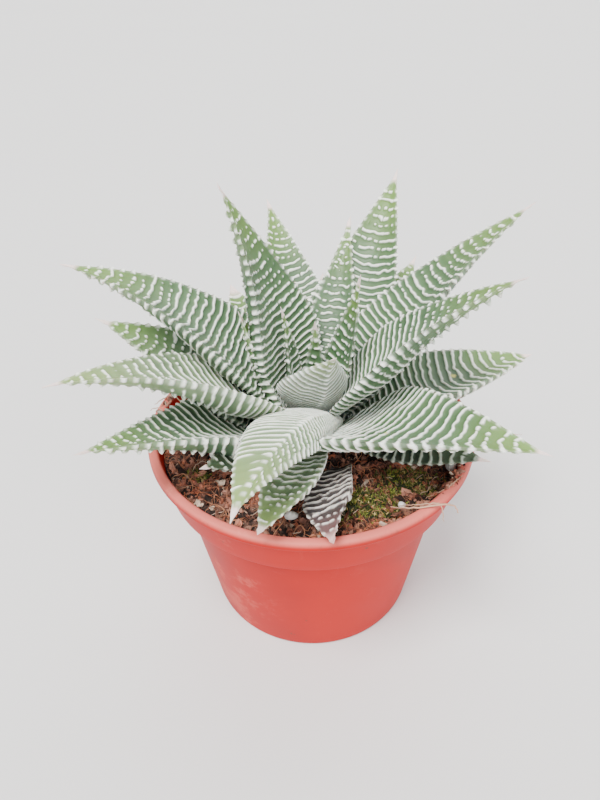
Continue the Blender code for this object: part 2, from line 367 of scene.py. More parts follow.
@dataclass(frozen=True)
class PotPlastic:
    """Moulded red plastic, handled and splashed with hard water, with a painted highlight along its lip.
    """

    name: str = "pot_plastic"
    ground: Colour = (0.450, 0.009, 0.005)
    shade: Colour = (0.375, 0.007, 0.004)
    lime_and_lip_highlight: Colour = (0.720, 0.200, 0.160)
    grime: Colour = (0.120, 0.045, 0.030)
    # Stretches of the pot in metres: the lip with its painted highlight, the inside under it, the
    # splashed side.
    lip_highlight_band: tuple[float, float] = (0.0358, 0.0368)
    inner_band: tuple[float, float] = (0.0345, 0.0362)
    inner_end: tuple[float, float] = (0.0362, 0.0369)
    splash_height: tuple[float, float] = (0.004, 0.030)
    splash_side: tuple[float, float] = (0.010, 0.021)

    def make(self) -> bpy.types.Material:
        """Build the material.

        Returns:
            The finished material.
        """
        sheet = Sheet(self.name)
        where = sheet.place()
        x, y, z = sheet.axes(where)
        cloud = sheet.noise(where, 60.0, 3.0)
        flecks = sheet.noise(where, 900.0, 4.0, 0.65)
        scale = sheet.noise(where, 230.0, 6.0, 0.72)
        ground = sheet.blend(self.shade, self.ground, cloud.step(0.30, 0.60))
        low = 1 - z.step(*self.splash_height)
        left = (x * -1.0 + y * -0.35).step(*self.splash_side)
        splash = (scale + left * low * 0.15).step(0.56, 0.74) * (0.12 + left * 0.55)
        # Painted highlight: the top of the lip paler, where its gloss catches the light.
        band_white_and_lip_highlight = z.step(*self.lip_highlight_band) * 0.75
        skin = sheet.blend(ground, self.lime_and_lip_highlight, (splash * 0.62 + band_white_and_lip_highlight).clamp())
        skin = sheet.blend(skin, self.lime_and_lip_highlight, flecks.step(0.70, 0.78) * 0.35)
        dots = sheet.noise(where, 420.0, 2.0).step(0.745, 0.765)
        inside = z.step(*self.inner_band) * (1 - z.step(*self.inner_end))
        dirt = (dots * 0.8 + inside * flecks.step(0.5, 0.7) * 0.3).clamp()
        skin = sheet.blend(skin, self.grime, dirt)
        sheet.set(
            Base_Color=skin,
            Roughness=0.42 + cloud * 0.16 + splash * 0.25,
            Specular_IOR_Level=0.15,
        )
        sheet.emboss(flecks * 0.5 + scale * 0.5, 0.35, 0.05)
        return sheet.material


@dataclass(frozen=True)
class Crumbly:
    """Damp fibrous matter in two browns or greens, its shade painted on the mesh."""

    name: str
    dark: Colour
    bright: Colour
    pale: Colour = (0.620, 0.470, 0.360)
    rough: float = 0.9
    grain_per_metre: float = 1500.0
    relief: float = 0.25
    redder: Colour = (1.35, 0.8, 0.55)

    def make(self) -> bpy.types.Material:
        """Build the material.

        Returns:
            The finished material.
        """
        sheet = Sheet(self.name)
        where = sheet.place()
        tone, warm, pale = sheet.marks("marks")
        grit = sheet.noise(where, self.grain_per_metre, 5.0, 0.7)
        lump = sheet.noise(where, self.grain_per_metre * 0.2, 3.0)
        share = (tone * 1.1 + grit * 0.9 + lump * 0.5 - 0.90).clamp()
        ground = sheet.blend(self.dark, self.bright, share)
        ruddy = tuple(min(1.0, part * gain) for part, gain in zip(self.bright, self.redder))
        ground = sheet.blend(ground, ruddy, (warm * grit.step(0.35, 0.7)).clamp())
        ground = sheet.blend(ground, self.pale, (pale * (0.5 + grit)).clamp())
        sheet.set(Base_Color=ground, Roughness=self.rough - grit * 0.15)
        sheet.emboss(grit, 0.8, self.relief)
        return sheet.material


@dataclass(frozen=True)
class PaleGrain:
    """Puffed white mineral, pitted and a little stained."""

    name: str = "pale_grain"
    white: Colour = (0.820, 0.800, 0.760)
    stain: Colour = (0.420, 0.330, 0.250)

    def make(self) -> bpy.types.Material:
        """Build the material.

        Returns:
            The finished material.
        """
        sheet = Sheet(self.name)
        where = sheet.place()
        pits = sheet.noise(where, 2400.0, 4.0, 0.7)
        stain = sheet.noise(where, 700.0, 3.0).step(0.52, 0.75)
        colour = sheet.blend(self.white, self.stain, stain * 0.5)
        sheet.set(Base_Color=colour, Roughness=0.8 + pits * 0.1)
        sheet.emboss(pits, 0.8, 0.15)
        return sheet.material


@dataclass(frozen=True)
class PaleFloor:
    """A plain pale studio floor."""

    name: str = "pale_floor"
    colour: Colour = (0.72, 0.715, 0.71)

    def make(self) -> bpy.types.Material:
        """Build the material.

        Returns:
            The finished material.
        """
        sheet = Sheet(self.name)
        cloud = sheet.noise(sheet.place(), 3.0, 2.0)
        darker = tuple(part * 0.96 for part in self.colour)
        sheet.set(Base_Color=sheet.blend(self.colour, darker, cloud), Roughness=0.75)
        return sheet.material


# ---- mesh helpers -----------------------------------------------------------


class Clay:
    """Points, faces and painted marks gathered for one mesh."""

    def __init__(self, name: str) -> None:
        """Start an empty mesh of this name."""
        self.name = name
        self.points: list[np.ndarray] = []
        self.faces: list[np.ndarray] = []
        self.paint: dict[str, list[np.ndarray]] = {}
        self.count = 0

    def add(self, points: np.ndarray, faces: np.ndarray, **paint: np.ndarray) -> None:
        """Put one lump of mesh in.

        Args:
            points: places in millimetres, one row each.
            faces: corner numbers, three or four a row.
            **paint: attribute name to one row of three numbers per point.
        """
        self.points.append(points)
        self.faces.append(faces + self.count)
        for name, values in paint.items():
            self.paint.setdefault(name, []).append(values)
        self.count += len(points)

    def fire(
        self,
        material: bpy.types.Material,
        uv: np.ndarray | None = None,
        smooth_faces: bool = True,
        solid: bool = False,
    ) -> bpy.types.Object:
        """Turn what was gathered into an object.

        Args:
            material: its finish.
            uv: one pair per point, for the strip layout of long pieces.
            smooth_faces: whether its faces shade into each other.
            solid: whether it is one closed body, whose faces are then turned outward.

        Returns:
            The new object.
        """
        points = np.concatenate(self.points)
        mesh = bpy.data.meshes.new(self.name)
        mesh.vertices.add(len(points))
        mesh.vertices.foreach_set("co", (points * MM).astype(np.float32).ravel())
        sizes = np.concatenate([np.full(len(f), f.shape[1]) for f in self.faces])
        corners = np.concatenate([f.ravel() for f in self.faces])
        mesh.loops.add(len(corners))
        mesh.loops.foreach_set("vertex_index", corners.astype(np.int32))
        mesh.polygons.add(len(sizes))
        starts = np.concatenate([[0], np.cumsum(sizes)[:-1]])
        mesh.polygons.foreach_set("loop_start", starts.astype(np.int32))
        mesh.polygons.foreach_set("use_smooth", np.full(len(sizes), smooth_faces))
        mesh.update(calc_edges=True)
        mesh.validate()
        for name, parts in self.paint.items():
            values = np.concatenate(parts)
            full = np.ones((len(values), 4), np.float32)
            full[:, :3] = values
            layer = mesh.attributes.new(name, "FLOAT_COLOR", "POINT")
            layer.data.foreach_set("color", full.ravel())
        if uv is not None:
            layer = mesh.uv_layers.new(name="OFBake")
            layer.uv.foreach_set("vector", uv[corners].astype(np.float32).ravel())
        mesh.materials.append(material)
        made = bpy.data.objects.new(self.name, mesh)
        bpy.context.scene.collection.objects.link(made)
        if solid:
            turn_faces_out(made)
        return made


def turn_faces_out(thing: bpy.types.Object) -> None:
    """Flip a mesh whose faces point inward.

    Args:
        thing: the object.
    """
    mesh = thing.data
    mesh.calc_loop_triangles()
    points = np.empty(len(mesh.vertices) * 3)
    mesh.vertices.foreach_get("co", points)
    points = points.reshape(-1, 3)
    corners = np.empty(len(mesh.loop_triangles) * 3, np.int32)
    mesh.loop_triangles.foreach_get("vertices", corners)
    tri = points[corners.reshape(-1, 3)] - points.mean(axis=0)
    if np.linalg.det(tri).sum() < 0:
        mesh.flip_normals()


def grid_faces(rows: int, columns: int, closed: bool) -> np.ndarray:
    """Quads of a grid whose points run along each row in turn.

    Args:
        rows: number of rows.
        columns: points in a row.
        closed: whether the last column joins the first.

    Returns:
        Corner numbers, four a row.
    """
    across = np.arange(columns if closed else columns - 1)
    row = np.arange(rows - 1)[:, None] * columns
    here, there = row + across, row + (across + 1) % columns
    return np.stack([here, there, there + columns, here + columns], -1).reshape(-1, 4)


def turns(count: int) -> np.ndarray:
    """Angles of even steps once round a circle."""
    return np.linspace(0, 2 * math.pi, count, endpoint=False)


def around(radius: Any, turn: np.ndarray, height: Any) -> np.ndarray:
    """Points round the Z axis.

    Args:
        radius: distance from the axis.
        turn: angles.
        height: places along the axis.

    Returns:
        One row of three numbers for each.
    """
    flat = np.broadcast_arrays(radius * np.cos(turn), radius * np.sin(turn), height)
    return np.stack(flat, -1)


def node_boxes(prefix: str) -> Iterator[tuple[str, np.ndarray, np.ndarray]]:
    """The nodes whose names start alike, in the order of their names.

    Args:
        prefix: how their names start.

    Yields:
        A name and the lowest and highest corner of its box in millimetres.
    """
    for name in sorted(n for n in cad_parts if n.startswith(prefix)):
        low, high = (np.array(corner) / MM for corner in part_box(name))
        yield name, low, high


def settle(piece: bpy.types.Object, slot: str, *nodes: str) -> None:
    """Ride a piece on the body and hide the nodes it stands for.

    Args:
        piece: the new object.
        slot: the record's material slot; not used.
        *nodes: CAD nodes it replaces.
    """
    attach(piece, "root")
    if nodes:
        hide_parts(*nodes)
    log.info("%s: %d points", piece.name, len(piece.data.vertices))


# ---- the rosette ------------------------------------------------------------


class Look(Enum):
    """How a leaf is coloured: its own colours, and darker and lighter copies of the skin that paint in
    shade and light.
    """

    FRESH = LeafSkin("leaf_fresh")
    SHADED = LeafSkin(
        "leaf_shaded",
        deep=(0.042, 0.086, 0.044),
        light=(0.098, 0.172, 0.084),
        foot=(0.058, 0.086, 0.060),
        far=(0.165, 0.285, 0.064),
        band=(0.880, 0.905, 0.815),
    )
    PALE = LeafSkin(
        "leaf_pale",
        deep=(0.190, 0.235, 0.175),
        light=(0.400, 0.440, 0.350),
        foot=(0.480, 0.490, 0.465),
        far=(0.280, 0.360, 0.150),
        band=(0.900, 0.910, 0.880),
    )
    # A lighter copy of the fresh skin, which paints in light on the leaves that wear it.
    BRIGHT = LeafSkin(
        "leaf_painted_light",
        deep=(0.104, 0.165, 0.088),
        light=(0.220, 0.300, 0.165),
        foot=(0.290, 0.330, 0.260),
        far=(0.240, 0.340, 0.100),
    )
    # A much darker copy of the skin: painted shade for the leaves that lie under others.
    UNDER = LeafSkin(
        "leaf_painted_deep_shade",
        deep=(0.014, 0.026, 0.017),
        light=(0.045, 0.068, 0.036),
        foot=(0.018, 0.022, 0.018),
        far=(0.050, 0.080, 0.036),
        band=(0.520, 0.560, 0.470),
    )
    OLD = LeafSkin(
        "leaf_old",
        deep=(0.032, 0.027, 0.029),
        light=(0.074, 0.062, 0.060),
        foot=(0.030, 0.022, 0.022),
        far=(0.190, 0.085, 0.085),
        band=(0.720, 0.670, 0.620),
        point=(0.640, 0.380, 0.360),
    )


@dataclass(frozen=True)
class Grid:
    """Where the points of a leaf's skin lie: rows along it, columns once round it."""

    along: np.ndarray  # each row's place, 0 at the stem and 1 at the blade's end
    half: np.ndarray  # each row's half width in millimetres
    out: np.ndarray  # each column's place across, -1 to 1
    share: np.ndarray  # each column's share of the way from a margin to the keel
    below: np.ndarray  # 1 on the lower faces and 0 on the upper one
    turn: np.ndarray  # each column's share of the way round


@dataclass(frozen=True)
class Leaf:
    """One leaf: the same plan as its solid, with its skin.

    Angles are degrees, lengths millimetres, widest and taper as in the solid.
    """

    name: str
    turn: float
    lift: float
    curl: float
    sweep: float
    roll: float
    length: float
    width: float
    widest: float
    taper: float
    height: float
    radius: float
    look: Look = Look.FRESH
    dots: float = 0.0
    dry: float = 0.04
    seed: int = 1
    foot_share: float = 0.5
    aside: float = 0.0
    keel_shift: float = 0.22
    trough: float = 0.10
    margin_lift: float = 0.16
    pitch: float = 1.30
    pitch_growth: float = 0.56
    relief: float = 0.25
    tooth: float = 0.42
    awn: float = 1.3
    awn_half: float = 0.46
    wave: float = 1.0
    fleck: tuple[float, float] | None = None

    # The skin's grid: the step between rows, then the steps between columns and the fewest
    # columns on the upper face, the left lower face and the right one.
    ROW_STEP: ClassVar[float] = 0.105
    COLUMN_STEPS: ClassVar[tuple[float, ...]] = (0.22, 0.36, 0.46)
    FEWEST_COLUMNS: ClassVar[tuple[int, ...]] = (30, 18, 14)
    FEWEST_ROWS: ClassVar[int] = 120
    # How far a leaf stays under one that lies on it, and the most that it is pushed down.
    CLEARANCE: ClassVar[float] = 0.4
    DEEPEST: ClassVar[float] = 3.0
    # How far ahead the bands run in the middle of the upper face and at the keel, in half widths.
    UPPER_BOW: ClassVar[float] = 0.16
    KEEL_BOW: ClassVar[float] = 0.38

    @property
    def tail(self) -> float:
        """Length of the thin point past the blade, as a share of the blade."""
        return self.awn / self.length

    def half_width(self, along: np.ndarray) -> np.ndarray:
        """Half the leaf's width along its length, in millimetres.

        Args:
            along: places from 0 at the stem to 1 at the point.

        Returns:
            Half widths.
        """
        swell = np.sin(np.minimum(along / self.widest, 1.0) * math.pi / 2)
        opening = self.foot_share + (1.0 - self.foot_share) * swell
        past = np.clip((along - self.widest) / (1.0 - self.widest), 0.0, 1.0)
        wander = 1.0 + 0.018 * ripple(along * 9.0, 0.0 * along, self.seed + 0.3)
        blade = self.width / 2 * opening * (1.0 - past**self.taper) * wander
        point = self.awn_half * np.clip((1.0 + self.tail - along) / (self.tail + 0.02), 0.0, 1.0)
        return np.where(along > 0.9, np.maximum(blade, point), blade)

    def spine(self, along: np.ndarray) -> tuple[np.ndarray, np.ndarray, np.ndarray]:
        """The line the leaf follows and the two directions across it.

        Args:
            along: places from 0 to 1.

        Returns:
            Middle points, the across directions and the outward directions of the upper face.
        """
        slope = np.radians(self.lift + self.curl * along)
        heading = np.radians(self.turn + self.aside + self.sweep * along)
        zero = np.zeros_like(along)
        ahead = np.stack(
            [np.cos(slope) * np.cos(heading), np.cos(slope) * np.sin(heading), np.sin(slope)], -1
        )
        side = np.stack([-np.sin(heading), np.cos(heading), zero], -1)
        up = np.cross(ahead, side)
        tilt = math.radians(self.roll)
        across = side * math.cos(tilt) + up * math.sin(tilt)
        over = np.cross(ahead, across)
        bearing = math.radians(self.turn)
        foot = np.array(
            [self.radius * math.cos(bearing), self.radius * math.sin(bearing), self.height]
        )
        steps = np.diff(along)[:, None] * (ahead[1:] + ahead[:-1]) / 2 * self.length
        middle = foot + np.concatenate([np.zeros((1, 3)), np.cumsum(steps, axis=0)])
        return middle, across, over

    def grid(self) -> Grid:
        """Rows from the stem to the point, columns round from the left margin over the upper face.

        Returns:
            The places of all rows and columns.
        """
        end = 1.0 + self.tail
        rows = max(self.FEWEST_ROWS, round(self.length * end / self.ROW_STEP))
        along = np.linspace(0.0, end - 0.002, rows)[:, None]
        top, left, right = (
            max(fewest, round(self.width / step))
            for fewest, step in zip(self.FEWEST_COLUMNS, self.COLUMN_STEPS)
        )
        swing = np.linspace(-math.pi / 2, math.pi / 2, top, endpoint=False)
        share_left = np.linspace(0.0, 1.0, left, endpoint=False) ** 1.25
        share_right = np.linspace(1.0, 0.0, right, endpoint=False) ** 1.25
        out = np.concatenate(
            [
                -np.sin(swing),
                -1.0 + (1.0 + self.keel_shift) * share_left,
                1.0 - (1.0 - self.keel_shift) * share_right,
            ]
        )
        share = np.concatenate([np.zeros(top), share_left, share_right])
        below = np.concatenate([np.zeros(top), np.ones(left + right)])
        below[top] = 0.5
        turn = np.arange(len(out)) / len(out)
        return Grid(along, self.half_width(along), out, share, below, turn)

    def upper_face(self, out: np.ndarray, half: np.ndarray) -> np.ndarray:
        """Height of the upper face over the spine.

        Args:
            out: place across, 0 at the spine and 1 at a margin.
            half: half width there.

        Returns:
            Heights in millimetres.
        """
        return (-self.trough + (self.margin_lift + self.trough) * out**1.8) * half

    def body(self, grid: Grid) -> tuple[np.ndarray, np.ndarray, np.ndarray]:
        """The smooth leaf under its bands.

        Args:
            grid: where its points lie.

        Returns:
            Points, and the across and outward directions of each row.
        """
        half, share = grid.half, grid.share
        middle, across, over = (line[:, None, :] for line in self.spine(grid.along[:, 0]))
        # The keel's depth under the spine, in half widths.
        down = 0.27 + 0.13 * np.minimum(1.0, grid.along / 0.35)
        rise = self.margin_lift * half
        bulge = 0.72 * np.sqrt(np.clip(1 - (1 - share) ** 2, 0, 1)) + 0.28 * share
        lower = rise - (rise + down * half) * bulge
        height = np.where(grid.below > 0.25, lower, self.upper_face(np.abs(grid.out), half))
        points = middle + across * (half * grid.out)[..., None] + over * height[..., None]
        return points, across, over

    def shade(self, grid: Grid, phase: np.ndarray) -> np.ndarray:
        """Painted tone of the ground with painted shade and shadow in it, the dry point and a yellow
        fleck.

        Args:
            grid: where the points lie.
            phase: band number of each point.

        Returns:
            Tone with its painted shade, dryness and fleck of each point.
        """
        along, half, out, below = grid.along, grid.half, grid.out, grid.below
        s = along * self.length
        tone = 0.5 + 0.5 * layered(s * 0.16, out * half * 0.20 + 40.0, self.seed + 9.0, 3)
        # Painted shade: the lower faces darker towards the stem. Painted shadow and light: darker on the
        # stem side of each band's crest, lighter on the point side.
        tone = tone - 0.28 * below * (1 - along) + 0.20 * np.sin(2 * math.pi * phase)
        dry = smooth(1.0 - self.dry, 1.0 - self.dry * 0.35, along) * np.ones_like(tone)
        fleck = 0 * tone
        if self.fleck is not None:
            gone = np.hypot(s - self.fleck[0] * self.length, (out - self.fleck[1]) * half)
            fleck = 1 - smooth(0.25, 0.60, gone + 0.25 * ripple(s * 3.0, out * 9.0, 1.0)) + 0 * tone
            fleck = fleck * (1 - below)
        return np.stack([np.clip(tone, 0, 1), dry, fleck], -1)

    def duck(self, points: np.ndarray, cover: "Leaf") -> np.ndarray:
        """Keep this leaf from showing through the upper face of one that lies on it.

        Args:
            points: rows by columns by three.
            cover: the leaf that lies on this one.

        Returns:
            The points, lowered where they stood proud of the cover.
        """
        rows = 160
        along = np.linspace(0.0, 1.0, rows)
        middle, across, over = cover.spine(along)
        flat = points.reshape(-1, 3)
        gap = (middle**2).sum(axis=1)[None, :] - 2 * flat @ middle.T
        near = gap.argmin(axis=1)
        half = cover.half_width(along)[near] + 1e-6
        away = flat - middle[near]
        x = np.abs((away * across[near]).sum(axis=1)) / half
        face = cover.upper_face(np.minimum(x, 1.0), half)
        proud = (away * over[near]).sum(axis=1) - face + self.CLEARANCE
        inside = (1 - smooth(1.0, 1.12, x)) * (near > 0) * (near < rows - 1)
        sunk = np.where((proud > 0) & (proud < self.DEEPEST), proud, 0.0) * inside
        return (flat - over[near] * sunk[:, None]).reshape(points.shape)

    def build(self, skin: bpy.types.Material, covers: Sequence["Leaf"] = ()) -> bpy.types.Object:
        """Shape the leaf with its raised bands, toothed margins and point.

        Args:
            skin: its material.
            covers: leaves that lie on this one.

        Returns:
            The leaf.
        """
        grid = self.grid()
        points, across, over = self.body(grid)
        normal = self.outward(points)
        ridge, rim, keel, phase = self.pattern(grid)
        fade = smooth(0.01, 0.08, grid.along) * (1 - smooth(0.93, 0.985, grid.along))
        lift = self.relief * self.pitch * fade * ridge * (1 - 0.75 * rim)
        lift = lift + 0.045 * ripple(grid.along * self.length * 0.6, grid.out * 2.0, self.seed)
        points = points + normal * lift[..., None]
        push = smooth(0.10, 0.42, grid.along) * (1 - smooth(0.90, 0.99, grid.along))
        push = self.tooth * (0.15 + 0.85 * push)
        edge_teeth, keel_teeth = self.teeth(grid)
        teeth = push * rim * edge_teeth
        points = points + across * (np.sign(grid.out) * teeth)[..., None]
        bead = push * keel * keel_teeth
        points = points - over * (0.9 * bead)[..., None]
        for cover in covers:
            points = self.duck(points, cover)
        marks = [
            np.clip(smooth(0.22, 0.75, ridge) * fade, 0, 1),
            np.clip(rim * 0.08 + 1.15 * np.maximum(teeth, bead) / self.tooth, 0, 1),
            np.broadcast_to(grid.along, ridge.shape),
        ]
        return self.close(grid, points, np.stack(marks, -1), self.shade(grid, phase), skin)

    def outward(self, points: np.ndarray) -> np.ndarray:
        """Unit normals of the smooth leaf before its bands.

        Args:
            points: rows by columns by three.

        Returns:
            Normals in the same layout.
        """
        round_it = np.roll(points, -1, axis=1) - np.roll(points, 1, axis=1)
        ahead = np.gradient(points, axis=0)
        normal = np.cross(round_it, ahead)
        size = np.linalg.norm(normal, axis=-1, keepdims=True)
        normal = normal / np.maximum(size, 1e-9)
        centre = points.mean(axis=1, keepdims=True)
        if ((points - centre) * normal).sum() < 0:
            normal = -normal
        return normal

    def phase(self, grid: Grid, bow: np.ndarray | float) -> np.ndarray:
        """Which band a place lies on, counted from the stem.

        Args:
            grid: where the points lie.
            bow: how far ahead the band runs at each place, in half widths.

        Returns:
            Band numbers, whole on a band's crest.
        """
        start = 1.0 - self.pitch_growth / 2
        gain = self.pitch_growth / start
        count = self.length / (self.pitch * self.pitch_growth) * np.log1p(gain * grid.along)
        return count + bow * grid.half / self.pitch

    def teeth(self, grid: Grid) -> list[np.ndarray]:
        """Saw teeth of the margins and the keel, where the bands end.

        Args:
            grid: where the points lie.

        Returns:
            Tooth heights of each row from 0 to 1, for the margins and for the keel.
        """
        cuts = []
        for bow, seed in ((0.0, 5.0), (self.KEEL_BOW, 6.0)):
            wave = self.phase(grid, bow)
            size = 0.72 + 0.28 * ripple(np.round(wave) * 1.7, 0 * wave, self.seed + seed)
            cuts.append(np.clip((0.25 + np.cos(2 * math.pi * wave)) / 1.25, 0, 1) ** 0.8 * size)
        return cuts

    def pattern(self, grid: Grid) -> tuple[np.ndarray, np.ndarray, np.ndarray, np.ndarray]:
        """Raised bands that wander and break up into dots.

        Args:
            grid: where the points lie.

        Returns:
            Band height, nearness to a margin, nearness to the keel and band number.
        """
        along, half, out, share, below = grid.along, grid.half, grid.out, grid.share, grid.below
        s = along * self.length
        # Place across in millimetres, moved on for the lower faces so that they differ.
        girth = out * half + below * (7.0 + share * half)
        bow = np.where(below > 0.25, self.KEEL_BOW * share, self.UPPER_BOW * (1 - out**2))
        loose = self.wave + 0.9 * self.dots * smooth(0.2, 0.7, along)
        wander = 0.22 * ripple(girth * 0.42, s * 0.33, self.seed + 1.0)
        wander = wander + 0.13 * loose * ripple(girth * 1.15, s * 0.8, self.seed + 2.0)
        phase = self.phase(grid, bow) + wander
        crest = np.exp(1.75 * (np.cos(2 * math.pi * phase) - 1))
        # A gate closes between beads towards the point, which leaves rows of dots.
        number = np.round(phase)
        gap = 0.5 + 0.62 * ripple(girth * 0.62 + number * 5.3, number * 2.7, self.seed + 3.0)
        shift = 0.5 * number + 0.35 * ripple(number * 3.7, number * 1.3, self.seed + 8.0)
        bead = 0.5 + 0.5 * np.cos(2 * math.pi * (girth / 1.15 + shift))
        start = 0.92 - 0.62 * self.dots  # where the dots begin, earlier on a dotted leaf
        level = -0.22 + 0.74 * smooth(start - 0.42, start + 0.16, along)
        level = level + 0.30 * self.dots * smooth(0.45, 0.95, np.abs(out))
        level = level + 0.05 * below * smooth(0.35, 0.75, along)
        gate = smooth(level - 0.20, level + 0.08, 0.40 * bead + 0.60 * gap)
        ridge = crest * gate * (0.88 + 0.12 * ripple(girth * 2.1, s * 1.9, self.seed + 4.0))
        distance = (1 - np.abs(out)) * half
        rim = (1 - smooth(0.12, 0.50, distance)) * np.where(below > 0.75, share < 0.3, 1.0)
        keel = (1 - smooth(0.12, 0.55, (1 - share) * half)) * below
        return ridge, rim, keel * smooth(0.12, 0.30, along), phase

    def close(
        self,
        grid: Grid,
        points: np.ndarray,
        marks: np.ndarray,
        tones_and_shade: np.ndarray,
        skin: bpy.types.Material,
    ) -> bpy.types.Object:
        """Join the last column to the first, close both ends and make the object.

        Args:
            grid: where the points lie.
            points: rows by columns by three.
            marks: painted bands, edge and place along.
            tones_and_shade: painted tone with painted shade, dryness and fleck.
            skin: the material.

        Returns:
            The leaf.
        """
        rows, columns = points.shape[:2]
        points, marks, tones_and_shade = (
            np.concatenate([part, part[:, :1]], axis=1) for part in (points, marks, tones_and_shade)
        )
        columns += 1
        faces = grid_faces(rows, columns, closed=False)
        tip = self.spine(np.linspace(0.0, 1.0 + self.tail, 60))[0][-1]
        foot = points[0].mean(axis=0)
        flat = np.concatenate([points.reshape(-1, 3), tip[None], foot[None]])
        last, top = (rows - 1) * columns, rows * columns
        ring = np.arange(columns - 1)
        caps = np.concatenate(
            [
                np.stack([last + ring, last + ring + 1, np.full(columns - 1, top)], -1),
                np.stack([ring + 1, ring, np.full(columns - 1, top + 1)], -1),
            ]
        )
        ends = np.array([[0.0, 0.0, 1.0], [0.0, 0.0, 0.0]])
        all_marks = np.concatenate([marks.reshape(-1, 3), ends])
        end_tones_and_shade = np.array([[0.5, 1.0, 0.0], [0.5, 0.0, 0.0]])
        all_tones_and_shade = np.concatenate([tones_and_shade.reshape(-1, 3), end_tones_and_shade])
        u = np.broadcast_to(np.append(grid.turn, 1.0), (rows, columns)) * 0.96 + 0.02
        v = np.broadcast_to(grid.along / (1.0 + self.tail), (rows, columns)) * 0.96 + 0.02
        uv = np.concatenate([np.stack([u, v], -1).reshape(-1, 2), [[0.5, 0.985], [0.5, 0.012]]])
        clay = Clay(self.name + "_skin")
        clay.add(flat, faces, marks=all_marks, tones_and_shade=all_tones_and_shade)
        clay.faces.append(caps)
        return clay.fire(skin, uv, solid=True)


TINY = {"dots": 0.3, "pitch": 0.8, "tooth": 0.15, "awn": 0.4, "awn_half": 0.2}


